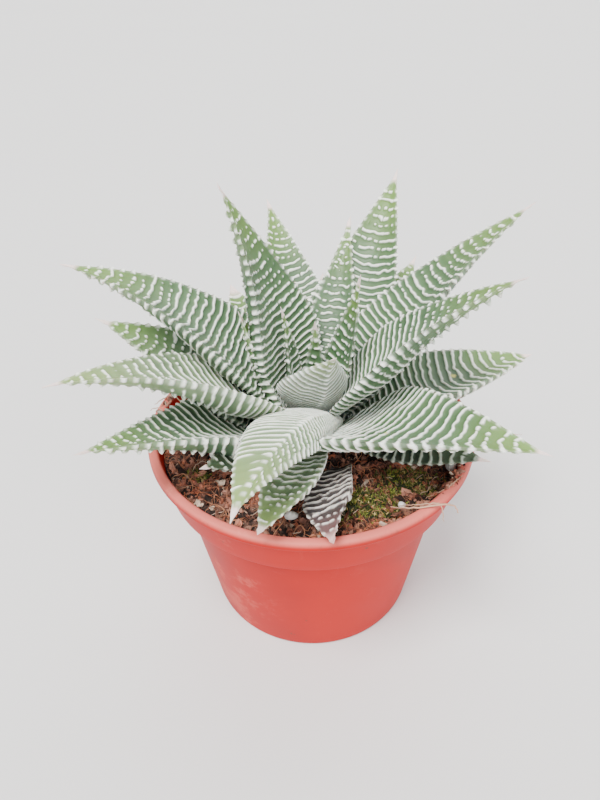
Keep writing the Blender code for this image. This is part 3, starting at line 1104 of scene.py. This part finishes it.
@dataclass
class Rosette:
    """All the leaves round their short stem, innermost first."""

    # Name, turn, lift, curl, sweep, roll, length, width, widest, taper, then the base's height
    # and radius.
    leaves: Sequence[Leaf] = (
        Leaf("leaf_heart_left", 150, 90, -14, 6, 9, 15.3, 5.0, 0.28, 1.39, 40.8, 2.8, dots=0.7),
        Leaf("leaf_heart_right", 77, 76, 17, 0, 0, 11.8, 3.4, 0.27, 1.37, 40.6, 3.1, dots=0.7),
        Leaf(
            "leaf_cup", 272, 83, -40, 41, -8, 17.5, 11.1, 0.44, 1.28, 39.8, 2.8,
            Look.PALE, pitch=0.78, pitch_growth=0.3, tooth=0.12, awn=0.4,
        ),
        Leaf("leaf_inner_left", 180, 62, 9, 5, -4, 18.4, 12.4, 0.25, 1.28, 39.9, 3.0),
        Leaf("leaf_inner_right", 33, 66, 14, -2, -4, 21.0, 7.4, 0.27, 1.37, 39.8, 3.2, dots=0.8),
        Leaf("leaf_inner_back", 75, 31, 15, 0, -2, 34.2, 10.6, 0.24, 1.19, 39.7, 3.2, dots=0.9),
        Leaf(
            "leaf_upper_left", 134, 78, -16, 29, 13, 36.3, 19.0, 0.33, 1.20, 39.4, 3.0,
            dots=0.6, tooth=0.8,
        ),
        Leaf(
            "leaf_far_left", 166, 56, -41, 15, 4, 42.6, 18.0, 0.32, 1.33, 39.5, 3.0,
            dots=0.4, tooth=1.0,
        ),
        Leaf(
            "leaf_right_fold", -6, 59, -28, -14, -7, 37.4, 19.5, 0.37, 1.10, 39.0, 3.1,
            dots=0.55, tooth=0.95,
        ),
        Leaf(
            "leaf_upper_right", 28, 49, -16, -16, -11, 45.4, 18.0, 0.29, 1.28, 38.9, 3.1,
            dots=0.45, tooth=0.95,
        ),
        Leaf("leaf_back_right", 65, 33, 17, -3, 1, 45.4, 17.8, 0.29, 1.27, 38.2, 3.2, dots=0.35),
        Leaf("leaf_back_left", 94, 24, 10, 15, 2, 45.9, 16.0, 0.25, 1.23, 38.0, 3.2, dots=0.3),
        Leaf(
            "leaf_left", 203, 53, -48, 12, 9, 40.8, 18.5, 0.40, 1.01, 37.9, 3.2,
            Look.BRIGHT, dots=0.45, tooth=0.50,
        ),
        Leaf(
            "leaf_front_bent", -23.7, 40, -48, 28, 175, 36.2, 10.4, 0.54, 1.25, 38.4, 5.5,
            Look.BRIGHT, dots=0.30, foot_share=0.22, aside=254, keel_shift=-0.45, trough=0.02,
            pitch=0.90, pitch_growth=0.7, relief=0.32, tooth=0.20, wave=1.5,
        ),
        Leaf(
            "leaf_front_right", -55, 44, -51, 34, -3, 35.4, 21.0, 0.25, 1.22, 39.2, 6.4,
            dots=0.1, foot_share=0.14, fleck=(0.42, -0.35), pitch=1.5, pitch_growth=0.3,
            tooth=0.28,
        ),
        Leaf(
            "leaf_right_low", 5, 26, -22, 8, -9, 35.8, 16.7, 0.55, 1.36, 36.5, 3.5,
            Look.SHADED, dry=0.05, awn=0.5, fleck=(0.62, 0.10), tooth=0.75,
        ),
        Leaf(
            "leaf_left_low", 171, 38, -12, 7, -4, 35.5, 17.4, 0.34, 1.37, 35.8, 3.1,
            Look.SHADED, dots=0.4, dry=0.05, tooth=0.70,
        ),
        Leaf(
            "leaf_front_left", 212, 26, -12, 12, 11, 36.6, 18.5, 0.43, 0.90, 37.0, 3.1,
            Look.SHADED, dots=0.4, tooth=0.75,
        ),
        Leaf(
            "leaf_back_low_left", 120, 15, 3, -8, 0, 34.0, 14.0, 0.32, 1.38, 37.2, 3.4,
            Look.SHADED, dry=0.12, awn=0.3,
        ),
        Leaf("leaf_back_low_right", 50, 27, 4, 8, 0, 35.0, 15.9, 0.30, 1.40, 36.8, 3.4, Look.SHADED),
        Leaf("leaf_back_low", 84, 13, 10, 3, 0, 34.0, 14.0, 0.32, 1.35, 36.2, 4.0, Look.SHADED),
        Leaf(
            "leaf_front_dark", 265, 18, -17, -19, 10, 26.3, 8.8, 0.45, 1.70, 36.9, 4.4,
            Look.BRIGHT, dots=0.35, dry=0.08, pitch=1.35, pitch_growth=0.2, tooth=0.18, awn=0.3,
            wave=2.2,
        ),
        Leaf(
            "leaf_right_under", -27, 4, 4, -3, 10, 26.0, 9.4, 0.52, 1.60, 36.8, 3.4,
            Look.UNDER, tooth=0.25,
        ),
        Leaf(
            "leaf_left_under", 231, 14, 14, 5, -16, 22.6, 9.0, 0.39, 1.57, 35.7, 3.4,
            Look.UNDER,
        ),
        Leaf(
            "leaf_front_old", -67.2, 14, -6, 32, 29, 18.9, 7.8, 0.52, 1.15, 36.0, 12.2,
            Look.OLD, dots=0.3, dry=0.14, aside=-45, pitch=1.4, pitch_growth=0.1, tooth=0.10, awn=0.3,
            wave=2.6,
        ),
    )

    # Tiny leaves that close the heart over the knob. No solid stands for them.
    buds: Sequence[Leaf] = (
        Leaf("bud_outer", 20, 76, 14, 10, 6, 7.6, 4.4, 0.34, 1.30, 38.6, 1.7, **TINY),
        Leaf("bud_middle", 150, 80, 12, 8, 4, 6.6, 3.6, 0.34, 1.30, 38.8, 1.3, **TINY),
        Leaf("bud_inner", 268, 84, 10, 6, 0, 5.6, 3.0, 0.34, 1.30, 39.0, 0.9, **TINY),
    )
    # A leaf, and the leaf that lies on it.
    laid_on: dict[str, str] = field(
        default_factory=lambda: {"leaf_upper_right": "leaf_right_fold"}
    )
    knob_radius: float = 4.4
    knob_height: float = 37.0
    knob_half: float = 2.2
    first_seed: int = 11
    bud_seed: int = 301
    seed_step: int = 7

    def build(self) -> None:
        """Make every leaf and the stem between them."""
        skins = {look: look.value.make() for look in Look}
        for number, leaf in enumerate(self.leaves):
            grown = replace(leaf, seed=self.first_seed + number * self.seed_step)
            slot = "old_leaf" if leaf.look is Look.OLD else "leaf"
            covers = [other for other in self.leaves if other.name == self.laid_on.get(leaf.name)]
            settle(grown.build(skins[leaf.look], covers), slot, leaf.name)
        for number, bud in enumerate(self.buds):
            grown = replace(bud, seed=self.bud_seed + number * self.seed_step)
            settle(grown.build(skins[bud.look]), "leaf")
        self.build_stem(skins[Look.BRIGHT])

    def build_stem(self, skin: bpy.types.Material) -> None:
        """The knob the leaves grow from, faintly fluted.

        Args:
            skin: its material.
        """
        rows, columns = 24, 48
        rise = np.linspace(-1.0, 1.0, rows)[:, None]
        turn = turns(columns)[None, :]
        ring = np.sqrt(np.clip(1 - rise**2, 0.0004, 1)) * (1 + 0.06 * np.cos(5 * turn + 4 * rise))
        points = around(self.knob_radius * ring, turn, self.knob_height + self.knob_half * rise)
        clay = Clay("stem_knob")
        flat = points.reshape(-1, 3)
        paint = np.zeros((len(flat), 3))
        paint[:, 2] = 0.1
        clay.add(flat, grid_faces(rows, columns, True), marks=paint, tones_and_shade=paint * 0 + (0.4, 0, 0))
        settle(clay.fire(skin, solid=True), "stem", "stem")


# ---- the pot ----------------------------------------------------------------


@dataclass
class Pot:
    """Thin moulded pot: rolled lip, deep collar, a step, a tapered body."""

    height: float = 36.8
    lip_radius: float = 27.5
    lip_depth: float = 1.6
    collar_depth: float = 8.4
    collar_foot: float = 25.2
    body_top: float = 23.3
    foot: float = 19.2
    wall: float = 0.9
    floor: float = 1.2
    segments: int = 288
    drain_count: int = 4
    drain_radius: float = 2.2
    drain_circle: float = 12.0
    drill_depth: float = 8.0

    def corners(self) -> list[tuple[float, float, float]]:
        """The outline's corners as radius, height and rounding.

        Returns:
            Corners from the middle of the foot, up outside, down inside.
        """
        step = self.height - self.collar_depth
        under = self.height - self.lip_depth
        top = self.height
        return [
            (0.0, 0.0, 0.0),
            (self.foot - 2.6, 0.0, 0.1),
            (self.foot, 0.0, 0.7),
            (self.body_top, step, 0.25),
            (self.collar_foot, step, 0.45),
            (self.lip_radius - 0.9, under, 0.35),
            (self.lip_radius, under + 0.05, 0.5),
            (self.lip_radius, top, 0.75),
            (self.lip_radius - 1.5, top, 0.55),
            (self.lip_radius - 1.8, top - 1.6, 0.6),
            (self.collar_foot - self.wall, step + 0.2, 0.4),
            (self.body_top - self.wall, step - 0.9, 0.4),
            (self.foot - self.wall, self.floor, 0.8),
            (0.0, self.floor, 0.0),
        ]

    def outline(self) -> np.ndarray:
        """The corners rounded off and filled with points.

        Returns:
            Radius and height of each point.
        """
        corners = self.corners()
        path: list[np.ndarray] = [np.array(corners[0][:2])]
        for before, here, after in zip(corners, corners[1:], corners[2:]):
            a, b, c = (np.array(p[:2]) for p in (before, here, after))
            reach = min(here[2], 0.48 * np.linalg.norm(b - a), 0.48 * np.linalg.norm(c - b))
            start = b + (a - b) / np.linalg.norm(a - b) * reach
            end = b + (c - b) / np.linalg.norm(c - b) * reach
            for share in np.linspace(0, 1, 7):
                path.append((1 - share) ** 2 * start + 2 * share * (1 - share) * b + share**2 * end)
        path.append(np.array(corners[-1][:2]))
        filled = [path[0]]
        for a, b in zip(path, path[1:]):
            parts = max(1, int(np.linalg.norm(b - a) / 1.2))
            for part in range(1, parts + 1):
                filled.append(a + (b - a) * part / parts)
        return np.array(filled)

    def build(self) -> None:
        """Turn the outline, cut the drain holes and dress the pot."""
        line = self.outline()
        line = line[np.append(True, np.linalg.norm(np.diff(line, axis=0), axis=1) > 1e-4)]
        turn = turns(self.segments)
        radius = np.maximum(line[:, 0], 0.02)[:, None]
        height = line[:, 1][:, None]
        swell = 1 + 0.0016 * ripple(2.5 * np.cos(turn) + 9, 2.5 * np.sin(turn) + height * 0.06, 4.0)
        outer = smooth(15.0, 22.0, radius + 0 * turn) * smooth(0.5, 5.0, height + 0 * turn)
        radius = radius * (1 + (swell - 1) * outer)
        clay = Clay("pot_shell")
        points = around(radius, turn, height).reshape(-1, 3)
        clay.add(points, grid_faces(len(line), self.segments, True))
        ring = np.arange(self.segments)
        last = (len(line) - 1) * self.segments
        shell = clay.fire(PotPlastic().make())
        mesh = bmesh.new()
        mesh.from_mesh(shell.data)
        mesh.verts.ensure_lookup_table()
        for first in (0, last):
            mesh.faces.new([mesh.verts[int(first + i)] for i in ring])
        bmesh.ops.recalc_face_normals(mesh, faces=mesh.faces)
        for face in mesh.faces:
            face.smooth = True
        mesh.to_mesh(shell.data)
        mesh.free()
        self.drill(shell)
        settle(shell, "pot", "pot")

    def drill(self, shell: bpy.types.Object) -> None:
        """Cut the drain holes through the floor.

        Args:
            shell: the pot.
        """
        mesh = bpy.data.meshes.new("drill")
        cutter = bmesh.new()
        for number in range(self.drain_count):
            angle = 2 * math.pi * (number + 0.5) / self.drain_count
            reach = self.drain_circle * MM
            spot = Matrix.Translation((reach * math.cos(angle), reach * math.sin(angle), 0.0))
            bmesh.ops.create_cone(
                cutter,
                cap_ends=True,
                segments=48,
                radius1=self.drain_radius * MM,
                radius2=self.drain_radius * MM,
                depth=self.drill_depth * MM,
                matrix=spot,
            )
        cutter.to_mesh(mesh)
        cutter.free()
        drill = bpy.data.objects.new("drill", mesh)
        bpy.context.scene.collection.objects.link(drill)
        cut = shell.modifiers.new("drains", "BOOLEAN")
        cut.solver = "MANIFOLD"
        cut.object = drill
        bpy.context.view_layer.update()
        graph = bpy.context.evaluated_depsgraph_get()
        drilled = bpy.data.meshes.new_from_object(shell.evaluated_get(graph))
        shell.modifiers.clear()
        shell.data = drilled
        bpy.data.objects.remove(drill, do_unlink=True)
        drilled.set_sharp_from_angle(angle=math.radians(40))


# ---- the growing mix and what lies on it --------------------------------------


@dataclass
class GrowingMix:
    """Crumbly brown mix with fibres, moss and pale grains."""

    edge_height: float = 33.8
    middle_height: float = 34.9
    reach: float = 25.3
    crumbs: int = 5000
    fibres: int = 1500
    # Bearings where crumbs lie on the lip, how far out, and how high the lip is.
    lip_spots: tuple[float, ...] = (0.10, 2.92, 5.72)
    lip_reach: tuple[float, float] = (25.6, 26.9)
    lip_height: float = 36.75
    lip_share: int = 28  # one crumb in this many
    moss_leaves: float = 90.0  # times a cushion's two half sides
    moss_reach: float = 24.6
    stray_share: int = 4  # one moss leaf in this many grows beside its cushion
    seed: int = 3
    rng: np.random.Generator = field(init=False)

    def __post_init__(self) -> None:
        """Seed the random numbers."""
        self.rng = np.random.default_rng(self.seed)

    def level(self, x: np.ndarray, y: np.ndarray) -> np.ndarray:
        """Height of the lumpy surface.

        Args:
            x: places along X.
            y: places along Y.

        Returns:
            Heights in millimetres.
        """
        share = np.minimum(1.0, np.hypot(x, y) / self.reach)
        mean = self.middle_height - (self.middle_height - self.edge_height) * share**1.5
        lumps = 0.55 * layered(x * 0.28, y * 0.28, 2.0, 3)
        crumbs = 0.42 * np.abs(layered(x * 0.9, y * 0.9, 5.0, 3))
        pits = 0.55 * smooth(0.15, 0.75, ripple(x * 1.7, y * 1.7, 19.0))
        return mean + lumps * smooth(0.0, 0.3, share) + crumbs - pits - 0.1

    def build(self) -> None:
        """Make the mix, its crumbs and fibres, the moss and the grains."""
        brown = Crumbly("mix_brown", (0.012, 0.004, 0.002), (0.500, 0.240, 0.170)).make()
        settle(self.bed(brown), "soil", "soil")
        settle(self.scatter(brown), "soil")
        straw = Crumbly(
            "fibre_straw",
            (0.070, 0.020, 0.010),
            (0.560, 0.270, 0.150),
            rough=0.8,
            grain_per_metre=900.0,
            relief=0.05,
        )
        settle(self.strands(straw.make()), "soil")
        self.grains()
        self.moss()

    def bed(self, material: bpy.types.Material) -> bpy.types.Object:
        """The body of the mix with its lumpy top.

        Args:
            material: its finish.

        Returns:
            The bed.
        """
        rings, segments = 84, 440
        radius = np.linspace(0.05, self.reach, rings)[:, None]
        turn = turns(segments)[None, :]
        top = around(radius, turn, 0.0)
        top = around(radius, turn, self.level(top[..., 0], top[..., 1]))
        walls = [(24.6, 30.5), (23.8, 29.2), (22.0, 28.0), (21.8, 27.0), (17.9, 1.7), (0.05, 1.6)]
        sides = [around(radius, turn[0], height) for radius, height in walls]
        points = np.concatenate([top, np.array(sides)])
        tone = 0.22 + 0.5 * layered(points[..., 0] * 0.9, points[..., 1] * 0.9, 8.0, 3)
        warm = smooth(0.1, 0.8, ripple(points[..., 0] * 0.25, points[..., 1] * 0.25, 12.0))
        paint = np.stack([tone, warm, 0 * tone], -1).reshape(-1, 3)
        clay = Clay("mix_bed")
        clay.add(points.reshape(-1, 3), grid_faces(len(points), segments, True), marks=paint)
        return clay.fire(material, solid=True)

    def pebble(self, sides: int, rows: int) -> tuple[np.ndarray, np.ndarray]:
        """A unit ball with flat rows, for crumbs and grains.

        Args:
            sides: points in a row.
            rows: rows between the poles.

        Returns:
            Points and triangles.
        """
        points = [np.array([[0.0, 0.0, -1.0]])]
        for row in range(1, rows + 1):
            tilt = math.pi * row / (rows + 1)
            points.append(around(math.sin(tilt), turns(sides) + row * 0.4, -math.cos(tilt)))
        points.append(np.array([[0.0, 0.0, 1.0]]))
        quads = grid_faces(rows, sides, True) + 1
        faces = [quads[:, [0, 1, 2]], quads[:, [0, 2, 3]]]
        ring = np.arange(sides)
        after = (ring + 1) % sides
        last = 1 + (rows - 1) * sides
        faces.append(np.stack([after + 1, ring + 1, 0 * ring], -1))
        faces.append(np.stack([last + ring, last + after, 0 * ring + last + sides], -1))
        return np.concatenate(points), np.concatenate(faces)

    def spin(self) -> np.ndarray:
        """A random turn as a 3 by 3 matrix."""
        turn, _ = np.linalg.qr(self.rng.normal(size=(3, 3)))
        return turn if np.linalg.det(turn) > 0 else -turn

    def scatter(self, material: bpy.types.Material) -> bpy.types.Object:
        """Loose crumbs, thicker near the wall, a few on the lip.

        Args:
            material: their finish.

        Returns:
            All the crumbs as one piece.
        """
        ball, faces = self.pebble(6, 3)
        clay = Clay("mix_crumbs")
        for number in range(self.crumbs):
            radius = self.reach * math.sqrt(self.rng.uniform(0.08, 0.985))
            turn = self.rng.uniform(0, 2 * math.pi)
            size = 0.13 + 0.75 * self.rng.random() ** 4
            x, y = radius * math.cos(turn), radius * math.sin(turn)
            z = float(self.level(np.array(x), np.array(y))) + size * 0.35
            if number % self.lip_share == 0:
                turn = self.rng.choice(self.lip_spots) + self.rng.normal() * 0.12
                radius, size = self.rng.uniform(*self.lip_reach), self.rng.uniform(0.15, 0.45)
                x, y = radius * math.cos(turn), radius * math.sin(turn)
                z = self.lip_height + size * 0.3
            stretch = self.rng.uniform((0.8, 0.5, 0.25), (1.9, 1.0, 0.8))
            lumpy = ball * (1 + 0.28 * self.rng.normal(size=(len(ball), 1)))
            points = (lumpy * stretch * size) @ self.spin().T + (x, y, z)
            fleck = float(self.rng.random() < 0.09) * self.rng.uniform(0.6, 1.0)
            shade = [self.rng.random(), self.rng.random() ** 2, fleck]
            clay.add(points, faces, marks=np.tile(shade, (len(ball), 1)))
        return clay.fire(material, smooth_faces=False)

    def strand(self, path: np.ndarray, thick: float) -> tuple[np.ndarray, np.ndarray]:
        """A thin tube along a path that tapers to both ends.

        Args:
            path: its middle line.
            thick: its radius.

        Returns:
            Points and quads.
        """
        sides = 5
        ahead = np.gradient(path, axis=0)
        ahead = ahead / np.linalg.norm(ahead, axis=1, keepdims=True)
        side = np.cross(ahead, [0.13, 0.21, 0.97])
        side = side / np.linalg.norm(side, axis=1, keepdims=True)
        up = np.cross(ahead, side)
        turn = turns(sides)
        reach = thick * (0.35 + 0.65 * np.sin(np.linspace(0.15, math.pi - 0.15, len(path))))
        ring = side[:, None] * np.cos(turn)[:, None] + up[:, None] * np.sin(turn)[:, None]
        points = path[:, None] + ring * reach[:, None, None]
        return points.reshape(-1, 3), grid_faces(len(path), sides, True)

    def strands(self, material: bpy.types.Material) -> bpy.types.Object:
        """Coir fibres on the mix and a few roots that cross the lip.

        Args:
            material: their finish.

        Returns:
            All the fibres as one piece.
        """
        clay = Clay("mix_fibres")
        share = np.linspace(0, 1, 12)
        for _ in range(self.fibres):
            radius = self.reach * math.sqrt(self.rng.uniform(0.1, 0.93))
            turn, head = self.rng.uniform(0, 2 * math.pi, 2)
            long = 1.0 + 6.0 * self.rng.random() ** 1.6
            bend = head + self.rng.normal() * 1.8 * share + 0.5 * np.sin(self.rng.uniform(2, 7) * share)
            x = radius * math.cos(turn) + np.cumsum(np.cos(bend)) * long / 12
            y = radius * math.sin(turn) + np.cumsum(np.sin(bend)) * long / 12
            reach = np.hypot(x, y)
            trim = np.minimum(1.0, (self.reach - 0.2) / np.maximum(reach, 0.1))
            x, y = x * trim, y * trim
            z = self.level(x, y) + 0.15 + self.rng.uniform(0.0, 1.1) * np.sin(math.pi * share)
            points, faces = self.strand(np.stack([x, y, z], -1), self.rng.uniform(0.025, 0.075))
            straw = 0.8 * float(self.rng.random() < 0.12)
            paint = np.tile([self.rng.random() ** 1.3, self.rng.random() ** 2, straw], (len(points), 1))
            clay.add(points, faces, marks=paint)
        for knots, thick in self.roots():
            points, faces = self.strand(self.curve(knots), thick)
            paint = np.tile([0.8, 0.2, 0.35], (len(points), 1))
            clay.add(points, faces, marks=paint)
        return clay.fire(material)

    def roots(self) -> list[tuple[list[tuple[float, float, float]], float]]:
        """Roots and straws that lie over the lip at the right.

        Returns:
            Knots of each and its radius.
        """
        return [
            ([(11.6, -19.4, 35.6), (14.1, -20.8, 36.7), (19.5, -21.1, 37.7), (20.9, -21.9, 36.8)], 0.15),
            ([(12.8, -19.2, 35.6), (15.6, -20.4, 37.0), (18.3, -21.0, 37.6), (18.9, -22.0, 35.2)], 0.11),
            ([(17.0, -17.4, 35.2), (19.8, -17.2, 36.8), (21.6, -15.8, 37.2), (23.0, -14.4, 37.0)], 0.09),
            ([(26.2, -8.4, 40.4), (28.5, -9.3, 41.0), (30.4, -10.2, 41.3), (32.0, -10.6, 41.9)], 0.06),
            ([(3.4, -6.4, 40.6), (5.2, -7.8, 40.6), (6.6, -8.6, 38.8), (7.4, -9.2, 35.9)], 0.15),
            ([(-24.0, 1.0, 35.2), (-25.6, 2.0, 37.1), (-26.9, 3.4, 37.2), (-27.9, 2.2, 37.6)], 0.10),
            ([(-22.5, 5.5, 35.6), (-24.6, 6.8, 37.4), (-26.2, 6.0, 37.4), (-27.8, 4.6, 37.0)], 0.12),
        ]

    def curve(self, knots: list[tuple[float, float, float]]) -> np.ndarray:
        """A smooth line through a few knots.

        Args:
            knots: places it passes.

        Returns:
            Points along it.
        """
        k = np.array(knots)
        k = np.concatenate([[2 * k[0] - k[1]], k, [2 * k[-1] - k[-2]]])
        line = []
        for a, b, c, d in zip(k, k[1:], k[2:], k[3:]):
            for t in np.linspace(0, 1, 9, endpoint=False):
                square, cube = 2 * a - 5 * b + 4 * c - d, 3 * b - a - 3 * c + d
                line.append(0.5 * (2 * b + (c - a) * t + square * t**2 + cube * t**3))
        line.append(k[-2])
        line = np.array(line)
        wiggle = self.rng.normal(size=line.shape) * 0.05
        return line + wiggle

    def grains(self) -> None:
        """The white grains, one piece for each node."""
        white = PaleGrain().make()
        ball, faces = self.pebble(20, 12)
        for name, low, high in node_boxes("grain_"):
            middle, reach = (low + high) / 2, (high - low) / 2
            turn = np.arctan2(ball[:, 1], ball[:, 0])
            dent = ripple(ball[:, 0] * 2.2 + 7, ball[:, 1] * 2.2 + ball[:, 2] * 2, len(name))
            lumpy = ball * (1 + 0.16 * dent + 0.05 * np.cos(3 * turn))[:, None]
            points = lumpy * reach + middle
            clay = Clay(name + "_lump")
            clay.add(points, faces)
            settle(clay.fire(white, solid=True), "grain", name)

    def moss(self) -> None:
        """Moss cushions of many small pointed leaves, one piece for each node."""
        green = Crumbly(
            "moss_green",
            (0.012, 0.022, 0.003),
            (0.330, 0.370, 0.055),
            pale=(0.620, 0.460, 0.200),
            rough=0.85,
            grain_per_metre=1300.0,
            relief=0.1,
        )
        material = green.make()
        for name, low, high in node_boxes("moss_"):
            settle(self.tuft(name, low, high, material), "moss", name)

    def tuft(
        self, name: str, low: np.ndarray, high: np.ndarray, material: bpy.types.Material
    ) -> bpy.types.Object:
        """One cushion: a lumpy mound set with tiny leaves.

        Args:
            name: the node it stands for.
            low: lowest corner of the node.
            high: highest corner of the node.
            material: its finish.

        Returns:
            The cushion.
        """
        middle, reach = (low + high) / 2, (high - low) / 2
        clay = Clay(name + "_tuft")
        rings, segments = 16, 60
        share = np.linspace(0.02, 1.0, rings)[:, None]
        turn = turns(segments)[None, :]
        edge = 0.88 + 0.22 * ripple(2 * np.cos(turn) + 5, 2 * np.sin(turn), len(name) + 2.0)
        x = middle[0] + reach[0] * share * np.cos(turn) * edge
        y = middle[1] + reach[1] * share * np.sin(turn) * edge
        dome = (high[2] - low[2]) * 0.75 * np.sqrt(np.clip(1 - share**2, 0, 1))
        z = self.level(x, y) - 0.15 + dome * (0.7 + 0.45 * ripple(x * 0.7, y * 0.7, 21.0))
        mound = np.stack([x, y, z], -1)
        tone = 0.12 + 0.25 * ripple(x, y, 22.0)
        paint = np.stack([tone, 0 * tone, 0 * tone], -1).reshape(-1, 3)
        clay.add(mound.reshape(-1, 3), grid_faces(rings, segments, True), marks=paint)
        corners = np.array([[0, 1, 2], [0, 2, 3], [3, 2, 4]])
        for number in range(int(self.moss_leaves * reach[0] * reach[1])):
            ring = int(rings * math.sqrt(self.rng.random()) * 0.999)
            spot = mound[ring, self.rng.integers(segments)]
            if number % self.stray_share == 0:
                away = self.rng.uniform(1.0, 1.5)
                x0, y0 = middle[:2] + (spot[:2] - middle[:2]) * away
                trim = min(1.0, self.moss_reach / math.hypot(x0, y0))
                x0, y0 = x0 * trim, y0 * trim
                spot = np.array([x0, y0, float(self.level(np.array(x0), np.array(y0))) + 0.05])
            blade = self.moss_leaf(spot)
            shade = 0.1 + 0.6 * self.rng.random() + 0.3 * ripple(spot[0] * 0.8, spot[1] * 0.8, 31.0)
            gold = 0.7 * float(self.rng.random() < 0.18)
            warm = float(self.rng.random() < 0.12)
            clay.add(blade, corners, marks=np.tile([shade, warm, gold], (len(blade), 1)))
        return clay.fire(material)

    def moss_leaf(self, spot: np.ndarray) -> np.ndarray:
        """One tiny pointed leaf that leans a random way.

        Args:
            spot: where it grows.

        Returns:
            Two points at its foot, two at its middle and its tip.
        """
        lean = self.rng.normal(size=3) * (0.55, 0.55, 0.2) + (0, 0, 0.8)
        lean = lean / np.linalg.norm(lean)
        side = np.cross(lean, self.rng.normal(size=3))
        side = side / np.linalg.norm(side)
        long, wide = self.rng.uniform(0.35, 0.95), self.rng.uniform(0.07, 0.16)
        bow = np.cross(side, lean) * 0.25 * long
        return np.array(
            [
                spot - side * wide * 0.5,
                spot + side * wide * 0.5,
                spot + lean * long * 0.5 + side * wide + bow,
                spot + lean * long * 0.5 - side * wide + bow,
                spot + lean * long - bow,
            ]
        )


# ---- studio -------------------------------------------------------------------


@dataclass
class Studio:
    """Pale floor, soft lamps, pale air and the camera."""

    camera_place: tuple[float, float, float] = (0.0, -81.5, 100.2)
    pitch: float = 36.0
    yaw: float = -0.96
    roll: float = -0.69
    lens: float = 27.05

    def build(self) -> None:
        """Set up the floor, the light and the camera."""
        self.lay_floor()
        self.lamp("key_lamp", (-340, -430, 1200), 26.0, 5.6, (1.0, 0.985, 0.96))
        self.lamp("fill_lamp", (420, -900, 560), 70.0, 2.7, (0.98, 0.985, 1.0))
        self.lamp("back_lamp", (150, 860, 900), 60.0, 1.7, (1.0, 0.99, 0.98))
        air = bpy.data.worlds.new("pale_air")
        air.use_nodes = True
        ground = air.node_tree.nodes["Background"]
        ground.inputs["Color"].default_value = (0.93, 0.94, 0.96, 1.0)
        ground.inputs["Strength"].default_value = 0.62
        bpy.context.scene.world = air
        self.aim()

    def lay_floor(self) -> None:
        """A wide flat floor under the pot."""
        side, lines = 4000.0, 9
        clay = Clay("studio_floor")
        steps = np.linspace(-side, side, lines)
        x, y = np.meshgrid(steps, steps)
        points = np.stack([x, y, 0 * x], -1).reshape(-1, 3)
        clay.add(points, grid_faces(lines, lines, False))
        floor = clay.fire(PaleFloor().make())

    def lamp(
        self, name: str, place: tuple[float, float, float], spread: float, power: float, tint: Colour
    ) -> None:
        """A wide soft light that faces the plant and reaches the whole floor evenly.

        Args:
            name: its name.
            place: which way it comes from, in millimetres.
            spread: how wide it looks from the plant, in degrees.
            power: its strength in watts a square metre.
            tint: its colour.
        """
        light = bpy.data.lights.new(name, "SUN")
        light.angle = math.radians(spread)
        light.energy = power
        light.color = tint
        lamp = bpy.data.objects.new(name, light)
        lamp.location = Vector(place) * MM
        aim = Vector((0, 0, 38)) * MM - lamp.location
        lamp.rotation_euler = aim.to_track_quat("-Z", "Y").to_euler()
        bpy.context.scene.collection.objects.link(lamp)

    def aim(self) -> None:
        """Stand the camera above and in front of the pot."""
        eye = bpy.data.cameras.new("camera")
        eye.lens = self.lens
        eye.clip_start = 0.005
        camera = bpy.data.objects.new("camera", eye)
        turn = (
            Matrix.Rotation(math.radians(90 - self.pitch), 4, "X")
            @ Matrix.Rotation(math.radians(-self.yaw), 4, "Y")
            @ Matrix.Rotation(math.radians(self.roll), 4, "Z")
        )
        camera.matrix_world = Matrix.Translation(Vector(self.camera_place) * MM) @ turn
        bpy.context.scene.collection.objects.link(camera)
        bpy.context.scene.camera = camera


def main() -> None:
    """Build every sub-assembly in order."""
    logging.basicConfig(level=logging.INFO, format="%(name)s: %(message)s")
    Studio().build()
    Pot().build()
    GrowingMix().build()
    Rosette().build()


if __name__ == "__main__":
    main()
